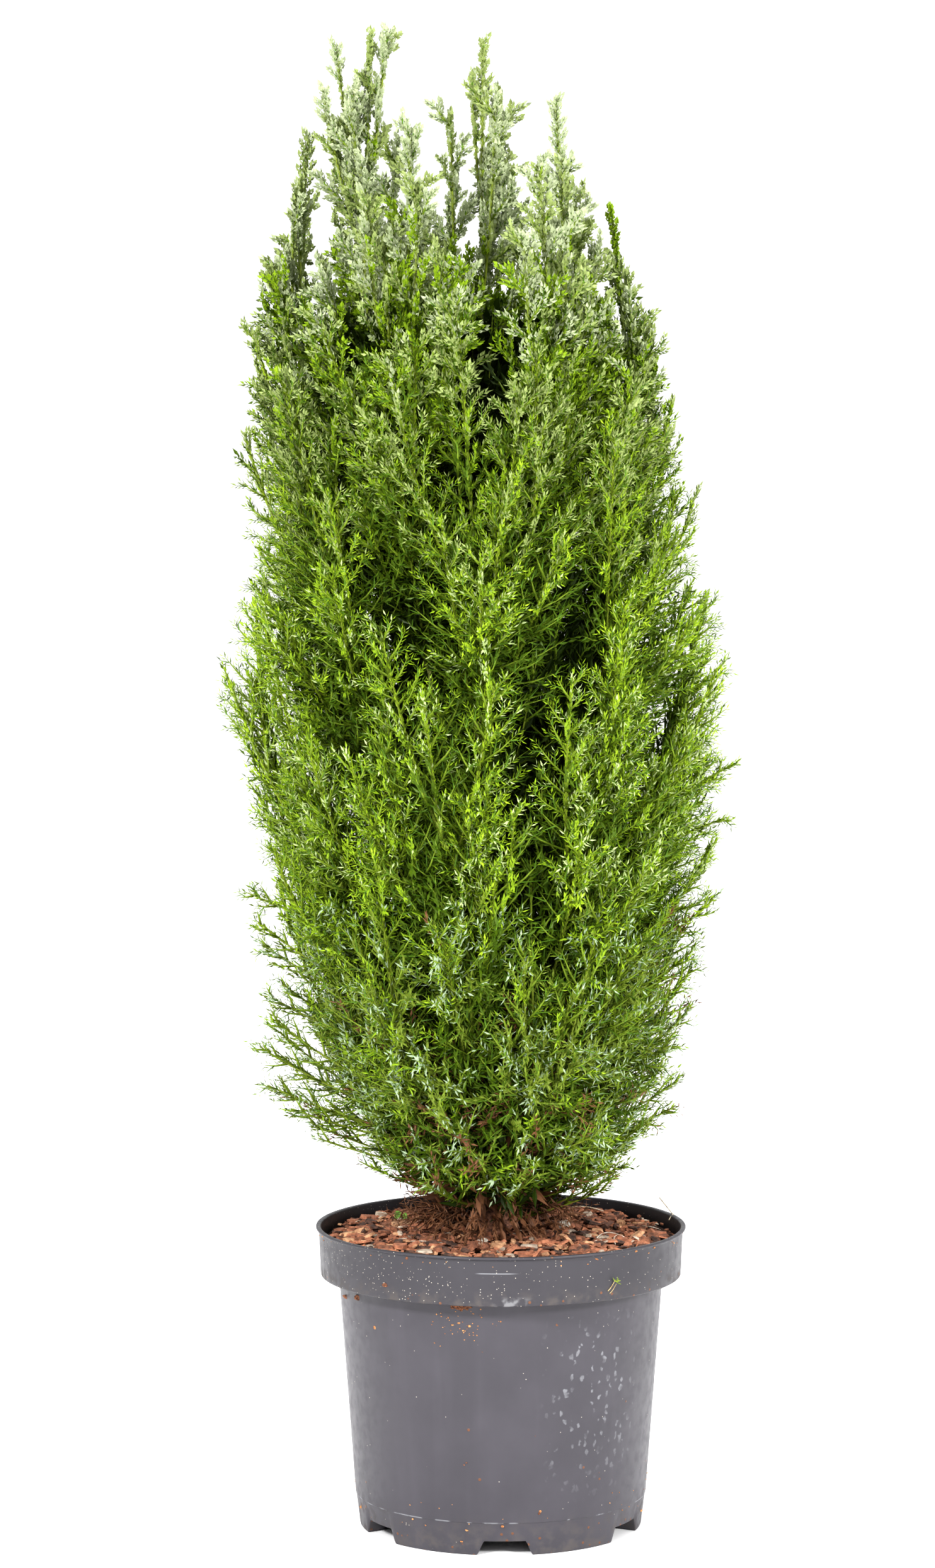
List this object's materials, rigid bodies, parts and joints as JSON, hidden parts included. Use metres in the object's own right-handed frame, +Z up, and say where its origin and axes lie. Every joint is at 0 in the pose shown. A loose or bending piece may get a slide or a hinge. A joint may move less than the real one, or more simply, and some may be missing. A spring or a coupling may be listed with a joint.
{
  "type": "potted lawson cypress",
  "caption": "Young potted Lawson cypress: a bushy upright conifer of feathery green sprays in a round dark plastic nursery pot with a deep collar and notched foot.",
  "frame": {"origin": "on the ground under the middle of the whole plant, a little to -X of the pot's axis because the crown leans that way", "axes": "+Z up along the trunk; the viewer of the picture looks along +Y, so +X is to the viewer's right"},
  "size_m": [0.3122, 0.3127, 0.918],
  "materials": {
    "pot_plastic": "satin moulded plastic, slate grey, dusted with soil",
    "bark_mulch": "rough brown bark chips over peat",
    "trunk_bark": "rough reddish-brown bark",
    "bough_bark": "rough brown bark",
    "foliage": "matt green needles with a pale bloom"
  },
  "bodies": {
    "root": {"pot": "pot_plastic", "soil": "bark_mulch", "trunk": "trunk_bark", "bough_middle_1": "bough_bark", "bough_middle_2": "bough_bark", "bough_middle_3": "bough_bark", "bough_middle_4": "bough_bark", "bough_middle_5": "bough_bark", "bough_middle_6": "bough_bark", "bough_middle_7": "bough_bark", "bough_upper_1": "bough_bark", "bough_upper_2": "bough_bark", "bough_upper_3": "bough_bark", "bough_upper_4": "bough_bark", "bough_upper_5": "bough_bark", "bough_upper_6": "bough_bark", "bough_leader_left": "bough_bark", "bough_leader_right": "bough_bark", "bough_leader_far_left": "bough_bark", "bough_leader_front_left": "bough_bark", "bough_leader_right_shoulder": "bough_bark", "bough_leader_front_right": "bough_bark", "bough_leader_back_left": "bough_bark", "bough_leader_back_right": "bough_bark", "foliage_low_1": "foliage", "foliage_low_2": "foliage", "foliage_low_3": "foliage", "foliage_low_4": "foliage", "foliage_low_5": "foliage", "foliage_low_6": "foliage", "foliage_middle_1": "foliage", "foliage_middle_2": "foliage", "foliage_middle_3": "foliage", "foliage_middle_4": "foliage", "foliage_middle_5": "foliage", "foliage_middle_6": "foliage", "foliage_middle_7": "foliage", "foliage_upper_1": "foliage", "foliage_upper_2": "foliage", "foliage_upper_3": "foliage", "foliage_upper_4": "foliage", "foliage_upper_5": "foliage", "foliage_upper_6": "foliage", "foliage_leader_left": "foliage", "foliage_leader_right": "foliage", "foliage_leader_far_left": "foliage", "foliage_leader_front_left": "foliage", "foliage_leader_right_shoulder": "foliage", "foliage_leader_front_right": "foliage", "foliage_leader_back_left": "foliage", "foliage_leader_back_right": "foliage", "foliage_leader_middle": "foliage"}
  },
  "joints": []
}
